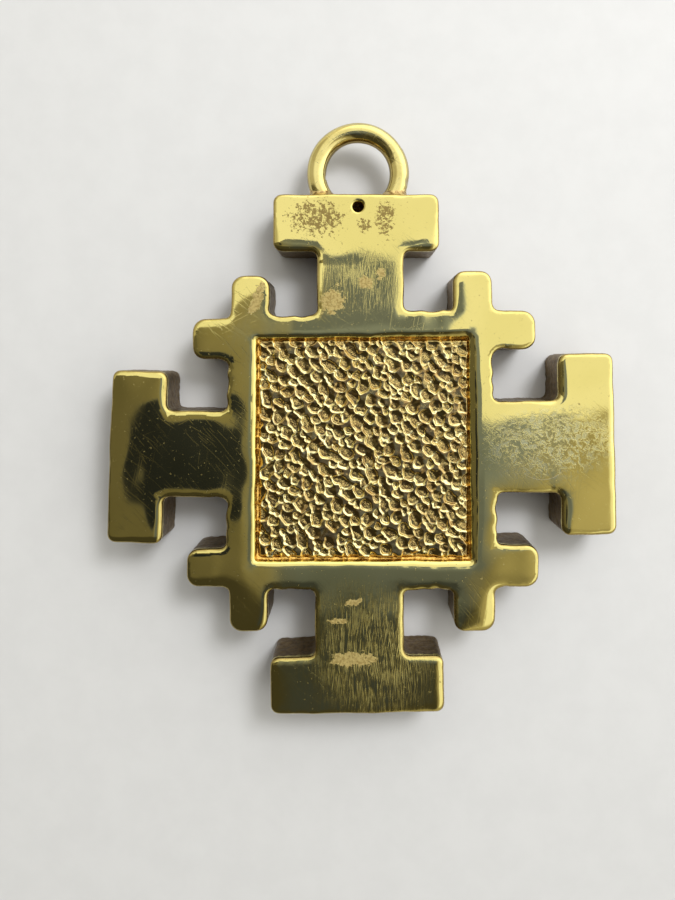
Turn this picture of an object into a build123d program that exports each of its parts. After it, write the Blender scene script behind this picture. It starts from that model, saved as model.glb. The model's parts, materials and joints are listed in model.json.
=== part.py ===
"""Pectoral cross: a thick brass cross potent around a square frame, with a hammered panel and a brazed bail.

Row frame, millimetres: the back lies on Z = 0 and the front faces +Z; +Y runs up the cross to the bail; the
origin is on the back, behind the middle of the square panel. Nothing on the piece moves.
"""

import os
from collections import namedtuple
from math import cos, radians, sin, sqrt

from build123d import *

# Body casting. The outline was filed by hand, so no two arms are quite alike.
THICKNESS = 8.0
FRONT_EDGE_RADIUS = 0.9
BACK_EDGE_RADIUS = 0.35
INSIDE_CORNER_RADIUS = 0.9
BAR_CORNER_RADIUS = 1.3
CORNER_CROSS_RADIUS = 1.9

# Each arm is a stem with a bar across its end. Shifts move a stem or bar sideways, and the lean tilts the bar,
# anticlockwise positive, in degrees.
Arm = namedtuple("Arm", "angle reach bar_depth bar_length bar_shift bar_lean stem_width stem_shift")
ARMS = (
    Arm(90, 38.5, bar_depth=8.7, bar_length=25.1, bar_shift=1.1, bar_lean=0, stem_width=13.2, stem_shift=0.5),
    Arm(180, 38.15, bar_depth=8.4, bar_length=26.1, bar_shift=1.0, bar_lean=-1.9, stem_width=13.1, stem_shift=0.6),
    Arm(270, 39.5, bar_depth=8.7, bar_length=26.3, bar_shift=-0.95, bar_lean=0.6, stem_width=13.4, stem_shift=-0.6),
    Arm(0, 37.8, bar_depth=8.4, bar_length=27.4, bar_shift=0.9, bar_lean=1.2, stem_width=14.0, stem_shift=0.5),
)
TOP_ARM, LEFT_ARM, BOTTOM_ARM, RIGHT_ARM = ARMS

# Each corner cross shows two stubs, one along Y and one along X: their near and far sides and their tips, as
# distances from the middle. The signs say which quadrant the cross is in.
Corner = namedtuple("Corner", "x_sign y_sign y_stub y_tip x_stub x_tip")
CORNERS = (
    Corner(1, 1, y_stub=(13.3, 19.4), y_tip=27.0, x_stub=(15.0, 21.0), x_tip=25.8),
    Corner(-1, 1, y_stub=(14.0, 19.9), y_tip=26.2, x_stub=(13.5, 19.8), x_tip=25.7),
    Corner(-1, -1, y_stub=(14.2, 20.2), y_tip=27.3, x_stub=(14.7, 20.6), x_tip=26.6),
    Corner(1, -1, y_stub=(13.4, 19.8), y_tip=27.3, x_stub=(14.1, 20.6), x_tip=26.4),
)

# Square frame and the pocket in its front, corner by corner from the upper left, clockwise.
FRAME_CORNERS = ((-20.4, 20.0), (19.3, 20.9), (20.3, -21.0), (-20.7, -20.9))
FRAME_CORNER_CUT = 2.5
POCKET_CORNERS = ((-15.6, 16.3), (15.4, 16.6), (15.8, -16.2), (-15.8, -16.2))
POCKET_DEPTH = 2.6
POCKET_LIP_RADIUS = 1.0

# Hammered panel, a plate that fills the pocket's floor. Its top here is the mean height of its dimpled face.
PANEL_THICKNESS = 1.6
PANEL_GAP = 0.05

# Pin hole through the top bar, under the bail.
PIN_HOLE_RADIUS = 0.8
PIN_HOLE_X = -0.8
PIN_HOLE_Y = 36.5
PIN_HOLE_RIM = 0.35

# Bail: a round ring of wire, cut off flat where it stands on the end of the top arm.
WIRE_RADIUS = 1.5
RING_RADIUS = 6.35
RING_RISE = 3.5
BAIL_X = -0.85
BAIL_Z = 5.0

# Brazing round each foot of the bail: how far it stands out from the wire, from the arm upwards.
BRAZE_HEIGHTS = (0.0, 0.35, 0.8, 1.4)
BRAZE_REACHES = (0.6, 0.3, 0.16, 0.1)
CUT_MARGIN = 1.0


def polar(angle, out, side):
    """A point a distance out along the arm at that angle, and a distance to its left."""
    turn = radians(angle)
    return (out * cos(turn) - side * sin(turn), out * sin(turn) + side * cos(turn))


def slab(angle, out_range, side_range):
    """A rectangle laid along an arm, from its distances out and its distances to the side."""
    corners = [
        polar(angle, out, side)
        for out, side in (
            (out_range[0], side_range[0]),
            (out_range[1], side_range[0]),
            (out_range[1], side_range[1]),
            (out_range[0], side_range[1]),
        )
    ]
    return make_face(Polyline(*corners, close=True))


def span(middle, width):
    return (middle - width / 2, middle + width / 2)


def quadrilateral(corners):
    return make_face(Polyline(*corners, close=True))


def arm_shape(arm):
    stem = slab(arm.angle, (0, arm.reach - arm.bar_depth / 2), span(arm.stem_shift, arm.stem_width))
    bar = slab(arm.angle, (arm.reach - arm.bar_depth, arm.reach), span(arm.bar_shift, arm.bar_length))
    middle = Pos(*polar(arm.angle, arm.reach - arm.bar_depth / 2, arm.bar_shift))
    return [stem, middle * Rot(0, 0, arm.bar_lean) * middle.inverse() * bar]


def corner_shape(corner):
    def rectangle(x_range, y_range):
        xs = [corner.x_sign * x for x in x_range]
        ys = [corner.y_sign * y for y in y_range]
        return quadrilateral([(xs[0], ys[0]), (xs[1], ys[0]), (xs[1], ys[1]), (xs[0], ys[1])])

    y_stub = rectangle(corner.y_stub, (0, corner.y_tip))
    x_stub = rectangle((0, corner.x_tip), corner.x_stub)
    return [y_stub, x_stub]


def is_inside_corner(outline, vertex):
    """True where the outline turns inwards: a little disc there lies mostly in the metal."""
    probe = 0.2
    disc = Pos(vertex.X, vertex.Y) * Circle(probe)
    return (outline & disc).area > disc.area / 2


def is_on_corner_cross(vertex):
    for corner in CORNERS:
        x = corner.x_sign * vertex.X
        y = corner.y_sign * vertex.Y
        if x > 0 and y > 0 and max(x - corner.x_tip, y - corner.y_tip) < 0.1:
            if x > corner.y_stub[0] - 0.1 and y > corner.x_stub[0] - 0.1:
                return True
    return False


def body_outline():
    frame = quadrilateral(FRAME_CORNERS)
    shapes = [chamfer(frame.vertices(), FRAME_CORNER_CUT)]
    for arm in ARMS:
        shapes += arm_shape(arm)
    for corner in CORNERS:
        shapes += corner_shape(corner)
    outline = Sketch() + shapes
    inside, crosses, bars = [], [], []
    for vertex in outline.vertices():
        if is_inside_corner(outline, vertex):
            inside.append(vertex)
        elif is_on_corner_cross(vertex):
            crosses.append(vertex)
        else:
            bars.append(vertex)
    outline = fillet(inside, INSIDE_CORNER_RADIUS)
    outline = fillet(matching(outline, crosses), CORNER_CROSS_RADIUS)
    return fillet(matching(outline, bars), BAR_CORNER_RADIUS)


def matching(outline, wanted):
    """The outline's vertices at the wanted vertices' places, found again after a fillet has rebuilt it."""
    near = 1e-4
    return [v for v in outline.vertices() if any((v.center() - w.center()).length < near for w in wanted)]


def cross_body():
    body = extrude(body_outline(), THICKNESS)
    body = fillet(body.faces().sort_by(Axis.Z)[-1].edges(), FRONT_EDGE_RADIUS)
    body = fillet(body.faces().sort_by(Axis.Z)[0].edges(), BACK_EDGE_RADIUS)

    pocket_floor = THICKNESS - POCKET_DEPTH
    pocket = Pos(0, 0, pocket_floor) * extrude(quadrilateral(POCKET_CORNERS), POCKET_DEPTH + CUT_MARGIN)
    body -= pocket
    front = body.faces().filter_by(Plane.XY).sort_by(Axis.Z)[-1]
    body = fillet(front.inner_wires()[0].edges(), POCKET_LIP_RADIUS)

    hole_place = Pos(PIN_HOLE_X, PIN_HOLE_Y, THICKNESS / 2)
    body -= hole_place * Cylinder(PIN_HOLE_RADIUS, THICKNESS + CUT_MARGIN)
    rim = Pos(PIN_HOLE_X, PIN_HOLE_Y, THICKNESS - PIN_HOLE_RIM / 2)
    return body - rim * Cone(PIN_HOLE_RADIUS, PIN_HOLE_RADIUS + PIN_HOLE_RIM, PIN_HOLE_RIM)


def textured_panel():
    outline = offset(quadrilateral(POCKET_CORNERS), -PANEL_GAP, kind=Kind.INTERSECTION)
    return Pos(0, 0, THICKNESS - POCKET_DEPTH) * extrude(outline, PANEL_THICKNESS)


def bail_ring():
    return Pos(BAIL_X, TOP_ARM.reach + RING_RISE, BAIL_Z) * Torus(RING_RADIUS, WIRE_RADIUS)


def above_top_arm():
    size = 4 * RING_RADIUS
    return Pos(BAIL_X, TOP_ARM.reach + size / 2, BAIL_Z) * Box(size, size, size)


def bail_loop():
    return bail_ring() & above_top_arm()


def braze_fillet(side):
    """A collar with a hollow flank round one foot of the bail. Side is -1 or 1, along X."""
    sections = []
    for height, reach in zip(BRAZE_HEIGHTS, BRAZE_REACHES):
        drop = RING_RISE - height
        out = sqrt(RING_RADIUS**2 - drop**2)
        slant = RING_RADIUS / out
        plane = Plane(
            origin=(BAIL_X + side * out, TOP_ARM.reach + height, BAIL_Z), x_dir=(1, 0, 0), z_dir=(0, 1, 0)
        )
        sections.append(plane * Ellipse(WIRE_RADIUS * slant + reach, WIRE_RADIUS + reach))
    return loft(sections) - bail_ring()


def main():
    os.makedirs("parts", exist_ok=True)
    parts = {
        "cross_body": cross_body(),
        "textured_panel": textured_panel(),
        "bail_loop": bail_loop(),
        "braze_fillet_left": braze_fillet(-1),
        "braze_fillet_right": braze_fillet(1),
    }
    for name, part in parts.items():
        part.label = name
        export_step(part, f"parts/{name}.step")


main()
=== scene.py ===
"""Looks for the pectoral cross: hand-filed, buffed brass with a hammered panel, lying flat under soft light.

Shapes are worked out in millimetres in the row frame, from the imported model, and become metres in make_mesh.
"""

import json
from math import ceil, cos, pi, radians, sin, sqrt, tau

import bpy
import numpy as np
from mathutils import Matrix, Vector
from mathutils.geometry import delaunay_2d_cdt

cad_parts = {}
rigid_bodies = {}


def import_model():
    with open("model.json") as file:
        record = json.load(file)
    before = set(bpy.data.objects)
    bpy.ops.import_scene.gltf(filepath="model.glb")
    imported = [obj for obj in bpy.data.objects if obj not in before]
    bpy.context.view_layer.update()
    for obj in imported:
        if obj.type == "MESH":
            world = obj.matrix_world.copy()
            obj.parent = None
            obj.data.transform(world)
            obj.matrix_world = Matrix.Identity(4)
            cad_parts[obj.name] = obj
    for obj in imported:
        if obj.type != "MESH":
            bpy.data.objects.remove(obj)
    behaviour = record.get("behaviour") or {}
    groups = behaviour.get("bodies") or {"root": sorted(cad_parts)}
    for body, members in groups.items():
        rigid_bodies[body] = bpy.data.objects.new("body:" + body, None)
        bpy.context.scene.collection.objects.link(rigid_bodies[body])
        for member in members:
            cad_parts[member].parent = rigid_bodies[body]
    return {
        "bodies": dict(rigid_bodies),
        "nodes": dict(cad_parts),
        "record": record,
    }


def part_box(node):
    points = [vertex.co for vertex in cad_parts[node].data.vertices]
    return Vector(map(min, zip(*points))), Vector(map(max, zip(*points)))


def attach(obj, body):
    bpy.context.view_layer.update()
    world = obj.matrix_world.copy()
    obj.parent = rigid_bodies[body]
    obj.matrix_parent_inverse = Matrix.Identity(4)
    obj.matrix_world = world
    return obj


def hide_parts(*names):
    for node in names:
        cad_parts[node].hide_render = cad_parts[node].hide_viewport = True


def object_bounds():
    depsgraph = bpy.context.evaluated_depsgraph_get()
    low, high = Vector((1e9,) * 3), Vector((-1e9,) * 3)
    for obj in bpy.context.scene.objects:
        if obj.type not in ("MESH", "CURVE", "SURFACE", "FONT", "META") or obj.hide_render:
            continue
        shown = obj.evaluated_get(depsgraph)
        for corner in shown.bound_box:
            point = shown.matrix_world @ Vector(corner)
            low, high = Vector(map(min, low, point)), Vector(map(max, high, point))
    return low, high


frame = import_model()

MM = 0.001
BODY = next(iter(frame["bodies"]))
CAD_LOW, CAD_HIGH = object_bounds()
BOX_LOW = np.array(CAD_LOW) / MM
BOX_HIGH = np.array(CAD_HIGH) / MM
PANEL_LOW, PANEL_HIGH = (np.array(corner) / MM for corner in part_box("textured_panel"))
BODY_HIGH = np.array(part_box("cross_body")[1]) / MM
BAIL_LOW, BAIL_HIGH = (np.array(corner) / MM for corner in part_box("bail_loop"))
MOUNTS = {mount["name"]: mount for mount in frame["record"]["mounts"]}

# The CAD body's own rounding, where its straight walls begin and end.
CAD_FRONT_RADIUS = 0.9
CAD_BACK_RADIUS = 0.35
CAD_LIP_RADIUS = 1.0

# Hand-finished body. Waves are (wavelength, height) pairs. The notches' waves fade out at their reach.
OUTLINE_STEP = 0.26
OUTLINE_SOFTNESS = 0.3
OUTLINE_WAVES = ((30, 0.05), (9, 0.03), (4, 0.012))
NOTCH_WAVES = ((3.4, 0.08), (2.3, 0.03))
NOTCH_REACH = 22.0
NOTCH_FADE = 0.8
FACE_STEP = 0.5
EDGE_WIDTH = 0.5
EDGE_WIDTH_WAVES = ((14, 0.1), (4, 0.04))
EDGE_DEPTH = 0.5
FACE_TOP = BODY_HIGH[2] - 0.07
FACE_WAVES = ((17, 0.026), (6.5, 0.009))
PILLOW_DEPTH = 0.09
PILLOW_REACH = 0.9
RIM_RADIUS = 0.45
RIM_STEEPNESS = 0.8
HOLE_SIDES = 44

# Where the face's points lie: the rows beyond the rounded edges, and how near points may come.
ROWS_BEYOND = (0.3, 0.65)
ROW_GAP = 0.17
RING_GAP = 0.12
RIM_RING_GAP = 0.08
GRID_GAP = 0.95
RIM_GRID_GAP = 0.4

# Side walls: their rows, ridges and cuts. Then the back's rounded edge, the pin hole's heights with how far
# each is widened, and the back's points.
WALL_LEVELS = 15
WALL_RIDGE = 0.035
WALL_RIDGE_TURN = 31
WALL_DEPTH = 0.03
WALL_DEEPEST = 0.2
WALL_WAVES = ((5, 0.03), (1.6, 0.035), (0.9, 0.02))
BACK_ANGLES = np.radians([25, 50, 70, 90])
HOLE_LEVELS = ((6.0, 0.0), (4.0, 0.0), (2.0, 0.0), (0.25, 0.0), (0.0, 0.12))
BACK_STEP = 1.6
BACK_EDGE_GAP = 1.2
BACK_HOLE_GAP = 0.8

# Stretches of the edge that buffing rolled over widely: the middle of each, its reach and its added width.
WIDE_EDGES = (
    ((20.3, -25.0), 4.0, 2.2),
    ((29.5, 10.5), 4.0, 0.7),
    ((29.5, -10.5), 4.0, 0.7),
    ((37.8, 0.0), 12.0, 0.5),
    ((12.0, -36.0), 5.0, 0.8),
    ((6.6, -24.0), 6.0, 0.35),
    ((-30.6, 10.0), 3.6, 0.5),
    ((-31.0, -10.5), 3.6, 0.5),
    ((-35.0, -14.0), 4.5, 0.4),
    ((-11.5, 29.5), 4.0, 1.1),
    ((11.5, 29.8), 4.0, 1.1),
    ((14.5, 25.0), 4.0, 0.6),
    ((-17.0, -27.5), 4.0, 0.9),
)

# The pocket's rounded lip, and the plain sloping channel between it and the hammered field.
POCKET_WAVES = ((9, 0.04), (2.5, 0.015))
CHANNEL_WIDTH = 0.42
CHANNEL_SOFTNESS = 0.16
CHANNEL_ROUGHNESS = ((5, 0.03), (1.7, 0.015))
CHANNEL_TOP = PANEL_HIGH[2] - 0.05
LIP_WIDTH = 0.85
LIP_WIDTH_WAVES = ((20, 0.1), (5, 0.05))
LIP_DEPTH = 0.62
WIDE_LIPS = (((16.5, 0.0), 17.0, 1.0),)

# Flats left by the file at the ends of the arms and on the corner crosses: the way each falls, in degrees
# from +X, the distance out where it starts, and how steep it is. Bars lie beyond BAR_START, crosses within.
# The crease at a flat's start is soft, and is felt from FLAT_LEAD before it.
BAR_START = 28.3
FLAT_CREASE = 0.6
FLAT_LEAD = 4
BAR_FLATS = ((90, 29.4, 1.2), (0, 30.0, 0.5), (180, 32.0, 0.3), (270, 31.0, 0.3))
CORNER_FLATS = ((45, 25.0, 1.2), (-30, 26.0, 1.6), (225, 26.0, 0.8), (120, 25.5, 0.8))

# Hammered panel. Dimples' angles are a mean and a spread. A lean of 1 brings one side level with the land.
PANEL_STEP = 0.112
PANEL_WAVES = ((1.1, 0.015), (5, 0.03))
BORDER_DEPTH = 0.3
BORDER_WIDTH = 0.16
PANEL_LAND = PANEL_HIGH[2] + 0.3
DIMPLE_DEPTHS = (0.3, 0.52)
DIMPLE_RADII = (0.33, 0.9)
DIMPLE_TRIES = 9000
DIMPLE_SPACING = 1.06
DIMPLE_WALL = 16
DIMPLE_LEAN = 1.05
DIMPLE_ANGLE = (radians(-62), radians(32))
DIMPLE_LEAN_ANGLE = (radians(45), radians(22))
DIMPLE_BENDS = ((1.7, 0.11), (0.8, 0.05))
# Width of the painted highlight along each dimple's lower rim.
RIM_HIGHLIGHT_WIDTH = 0.16

# Bail wire.
WIRE_RADIUS = (BAIL_HIGH[2] - BAIL_LOW[2]) / 2
BAIL_MIDDLE = (BAIL_LOW + BAIL_HIGH) / 2
RING_RADIUS = (BAIL_HIGH[0] - BAIL_LOW[0]) / 2 - WIRE_RADIUS
RING_CENTRE = np.array([BAIL_MIDDLE[0], BAIL_HIGH[1] - RING_RADIUS - WIRE_RADIUS, BAIL_MIDDLE[2]])
ARM_END = BAIL_LOW[1]
RING_SUNK = 0.25
RING_TURNS = 150
RING_SIDES = 40

# Flats left by the file: the middle of each on the ring and round the wire, its half length and its depth.
RING_FLATS = (
    (36, 0, 9, 0.2),
    (-9, 20, 6, 0.22),
    (187, 180, 7, 0.16),
    (128, 165, 12, 0.06),
    (95, 40, 16, 0.05),
)

# Brazing round the bail's feet, with rings of points at shares of its height. Less full than the CAD's.
BRAZE_SIDES = 44
BRAZE_SHARES = (0.0, 0.06, 0.15, 0.28, 0.45, 0.65, 0.85, 1.0)
BRAZE_FULLNESS = 0.86
BRAZE_FALL = 2.6


# ---------------------------------------------------------------- shapes


def loops_at(node, height):
    """The closed loops of a CAD node's edges at that height, as arrays of points, longest first."""
    mesh = frame["nodes"][node].data
    near = 0.002
    places = [tuple(round(c / MM, 3) for c in vertex.co) for vertex in mesh.vertices]
    neighbours = {}
    for edge in mesh.edges:
        a, b = (places[i] for i in edge.vertices)
        if abs(a[2] - height) < near and abs(b[2] - height) < near and a[:2] != b[:2]:
            neighbours.setdefault(a[:2], set()).add(b[:2])
            neighbours.setdefault(b[:2], set()).add(a[:2])
    loops = []
    while neighbours:
        start = next(iter(neighbours))
        loop, here = [start], start
        while neighbours.get(here):
            there = neighbours[here].pop()
            neighbours[there].discard(here)
            loop.append(there)
            here = there
            if here == start:
                break
        neighbours = {place: others for place, others in neighbours.items() if others}
        loops.append(anticlockwise(np.array(loop[:-1])))
    return sorted(loops, key=perimeter, reverse=True)


def perimeter(loop):
    return np.linalg.norm(np.roll(loop, -1, 0) - loop, axis=1).sum()


def anticlockwise(loop):
    after = np.roll(loop, -1, 0)
    area = (loop[:, 0] * after[:, 1] - loop[:, 1] * after[:, 0]).sum()
    return loop if area > 0 else loop[::-1]


def resampled(loop, step, softness):
    """The loop with even steps, its corners softened over about that length."""
    closed = np.vstack([loop, loop[:1]])
    along = np.concatenate([[0], np.cumsum(np.linalg.norm(np.diff(closed, axis=0), axis=1))])
    count = round(along[-1] / step)
    even = np.arange(count) * along[-1] / count
    points = np.column_stack([np.interp(even, along, closed[:, k]) for k in range(2)])
    spread = softness / step
    reach = ceil(3 * spread)
    weights = np.exp(-0.5 * (np.arange(-reach, reach + 1) / spread) ** 2)
    weights /= weights.sum()
    return sum(w * np.roll(points, -k, 0) for k, w in zip(range(-reach, reach + 1), weights))


def outward(loop):
    """Unit normals that point out of an anticlockwise loop."""
    along = np.roll(loop, -1, 0) - np.roll(loop, 1, 0)
    along /= np.linalg.norm(along, axis=1)[:, None]
    return np.column_stack([along[:, 1], -along[:, 0]])


def ripple(count, waves, random):
    """A wandering value for each point of a loop, from (wavelength, amplitude) pairs."""
    length = count * OUTLINE_STEP
    turn = np.arange(count) / count * tau
    value = np.zeros(count)
    for wavelength, amplitude in waves:
        for part in (0.8, 1.0, 1.3):
            cycles = max(1, round(length / wavelength * part))
            value += amplitude / 1.7 * np.sin(cycles * turn + random.uniform(0, tau))
    return value


def swell(x, y, wavelength, amplitude, random):
    """A smooth wandering surface."""
    value = np.zeros_like(x)
    for _ in range(6):
        angle = random.uniform(0, tau)
        pitch = tau / (wavelength * random.uniform(0.7, 1.4))
        value += np.sin(pitch * (x * cos(angle) + y * sin(angle)) + random.uniform(0, tau))
    return amplitude * value / 2.5


def nearest(loop, points):
    """How far each point is from the loop, and the index of the loop's nearest point."""
    distances, indices = [], []
    for some in np.array_split(points, max(1, len(points) // 1000)):
        gaps = ((some[:, None, :] - loop[None, :, :]) ** 2).sum(2)
        index = gaps.argmin(1)
        best = np.full(len(some), np.inf)
        for other in (-1, 1):
            a = loop[index]
            b = loop[(index + other) % len(loop)]
            share = ((some - a) * (b - a)).sum(1) / ((b - a) ** 2).sum(1)
            foot = a + np.clip(share, 0, 1)[:, None] * (b - a)
            best = np.minimum(best, np.linalg.norm(some - foot, axis=1))
        distances.append(best)
        indices.append(index)
    return np.concatenate(distances), np.concatenate(indices)


def inside(loop, points):
    """Which points lie inside the loop."""
    result = np.zeros(len(points), bool)
    after = np.roll(loop, -1, 0)
    for a, b in zip(loop, after):
        crosses = (a[1] > points[:, 1]) != (b[1] > points[:, 1])
        if a[1] != b[1]:
            at = (b[0] - a[0]) * (points[:, 1] - a[1]) / (b[1] - a[1]) + a[0]
            result ^= crosses & (points[:, 0] < at)
    return result


def rounding(distance, radius):
    """How far a quarter-round edge has dropped at a distance in from it."""
    left = np.clip(radius - distance, 0, radius)
    return radius - np.sqrt(np.maximum(radius**2 - left**2, 0))


def hex_points(low, high, step):
    rows = []
    for row, y in enumerate(np.arange(low[1], high[1], step * sqrt(3) / 2)):
        x = np.arange(low[0] + (row % 2) * step / 2, high[0], step)
        rows.append(np.column_stack([x, np.full(len(x), y)]))
    return np.vstack(rows)


class Build:
    """Gathers points and faces, each face with its material's number."""

    def __init__(self):
        self.points, self.faces, self.slots, self.count = [], [], [], 0

    def add(self, points):
        first = self.count
        self.points.append(np.asarray(points, float))
        self.count += len(points)
        return np.arange(first, self.count)

    def strip(self, lower, upper, slot):
        """Faces between two closed rings of the same length."""
        for i in range(len(lower)):
            j = (i + 1) % len(lower)
            self.faces.append((lower[i], lower[j], upper[j], upper[i]))
            self.slots.append(slot)

    def cap(self, ring, slot):
        self.faces.append(tuple(ring))
        self.slots.append(slot)

    def tube(self, rings):
        for lower, upper in zip(rings, rings[1:]):
            self.strip(upper, lower, 0)
        self.cap(rings[0], 0)
        self.cap(rings[-1][::-1], 0)

    def fill(self, outer, holes, extra, slot, height, flip=False):
        """Triangles between a ring and its holes, through extra points at the heights their places have."""
        places = self.all_points()[:, :2]
        rings = [outer] + holes
        flat = np.vstack([places[ring] for ring in rings] + [extra])
        owners = list(np.concatenate(rings)) + [None] * len(extra)
        edges, first = [], 0
        for ring in rings:
            edges += [(first + i, first + (i + 1) % len(ring)) for i in range(len(ring))]
            first += len(ring)
        merge_gap = 1e-7
        made = delaunay_2d_cdt([Vector(p) for p in flat], edges, [], 0, merge_gap)
        vertices, triangles, origins = made[0], made[2], made[3]
        made_at = np.array([tuple(v) for v in vertices])
        fresh = [k for k, origin in enumerate(origins) if not origin or owners[origin[0]] is None]
        new = dict(zip(fresh, self.add(np.column_stack([made_at[fresh], height(made_at[fresh])]))))
        index = [new[k] if k in new else owners[origin[0]] for k, origin in enumerate(origins)]
        corners = np.array([tuple(t) for t in triangles])
        middle = made_at[corners].mean(1)
        keep = inside(places[outer], middle)
        for hole in holes:
            keep &= ~inside(places[hole], middle)
        for a, b, c in corners[keep]:
            face = (index[a], index[b], index[c])
            self.faces.append(face[::-1] if flip else face)
            self.slots.append(slot)

    def all_points(self):
        return np.vstack(self.points)


def make_mesh(name, build, materials, replaced):
    """A finished piece that rides on the body and stands for a CAD node."""
    points = np.clip(build.all_points(), BOX_LOW, BOX_HIGH) * MM
    mesh = bpy.data.meshes.new(name)
    mesh.from_pydata(points.tolist(), [], [tuple(map(int, face)) for face in build.faces])
    for material in materials:
        mesh.materials.append(material)
    mesh.polygons.foreach_set("material_index", build.slots)
    mesh.polygons.foreach_set("use_smooth", [True] * len(mesh.polygons))
    mesh.validate()
    mesh.update()
    piece = bpy.data.objects.new(name, mesh)
    bpy.context.scene.collection.objects.link(piece)
    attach(piece, BODY)
    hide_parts(replaced)
    return piece


def add_layer(piece, name, amounts):
    """One number for each of the piece's points, for its material to read."""
    layer = piece.data.attributes.new(name, "FLOAT", "POINT")
    layer.data.foreach_set("value", amounts)


# ---------------------------------------------------------------- the body


FRONT, WALL, BACK, POCKET = range(4)

# Angles up a rounded edge from its foot. Steep ones become rings of points, and gentle ones loose points.
STEEP_ANGLES = np.radians([0, 12, 24, 36, 50])
GENTLE_ANGLES = np.radians([63, 76, 90])


def filed_outline(random):
    """The body's outline with the waves that filing by hand leaves, never outside the CAD's box."""
    level = BODY_HIGH[2] - CAD_FRONT_RADIUS
    loop = resampled(loops_at("cross_body", level)[0], OUTLINE_STEP, OUTLINE_SOFTNESS)
    wander = ripple(len(loop), OUTLINE_WAVES, random)
    notch = ripple(len(loop), NOTCH_WAVES, random)
    in_notch = np.clip((NOTCH_REACH - np.abs(loop).max(1)) / NOTCH_FADE, 0, 1)
    inward = sum(amplitude for _, amplitude in OUTLINE_WAVES)
    return moved(loop, outward(loop), wander + notch * in_notch - inward)


def flat_drop(x, y):
    """How far the filed flats fall below the face."""
    drop = np.zeros_like(x)
    out = np.maximum(np.abs(x), np.abs(y))
    for flats, here in ((BAR_FLATS, out > BAR_START), (CORNER_FLATS, out <= BAR_START)):
        for angle, start, slope in flats:
            beyond = x * cos(radians(angle)) + y * sin(radians(angle)) - start
            soft = FLAT_CREASE * np.logaddexp(0, np.clip(beyond / FLAT_CREASE, -40, 40))
            drop += np.where(here & (beyond > -FLAT_LEAD), soft * radians(slope), 0)
    return drop


def widened(widths, loop, stretches):
    """An edge's widths with more added round each stretch: its middle, its reach and its added width."""
    for middle, reach, more in stretches:
        widths = widths + more * np.exp(-((np.linalg.norm(loop - middle, axis=1) / reach) ** 4))
    return widths


def pin_hole():
    """The hole's loop, drilled a little out of round."""
    turn = np.arange(HOLE_SIDES) / HOLE_SIDES * tau
    wobble = 1 + 0.03 * np.sin(2 * turn + 0.5) + 0.02 * np.sin(3 * turn)
    radius = MOUNTS["pin_hole"]["dims"]["r_mm"] * wobble
    middle = np.array(MOUNTS["pin_hole"]["pos_m"][:2]) / MM
    return middle + radius[:, None] * np.column_stack([np.cos(turn), np.sin(turn)])


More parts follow.
